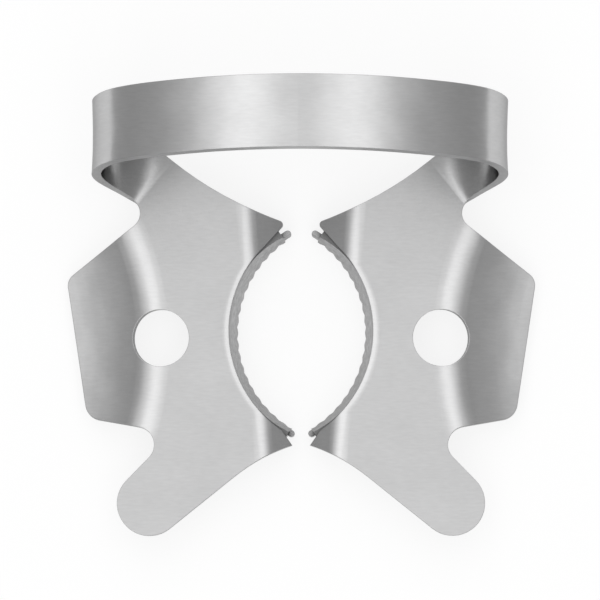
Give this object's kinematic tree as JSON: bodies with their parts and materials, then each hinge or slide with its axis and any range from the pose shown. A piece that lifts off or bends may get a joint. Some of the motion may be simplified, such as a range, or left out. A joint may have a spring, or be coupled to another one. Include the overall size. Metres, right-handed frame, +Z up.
{
  "type": "rubber dam clamp",
  "caption": "Winged rubber dam clamp of spring sheet steel: toothed jaws that grip a molar, forceps holes, wings and tabs, joined by a raised springy bow.",
  "frame": {"origin": "middle of the bounding box at its base, on the midline and level with the prong tips", "axes": "+Z up, away from the gum; +Y towards the bow; X across the tooth"},
  "size_m": [0.0246, 0.0238, 0.0105],
  "materials": {
    "steel": "finely brushed, satin"
  },
  "bodies": {
    "root": {"clamp": "steel"}
  },
  "joints": []
}
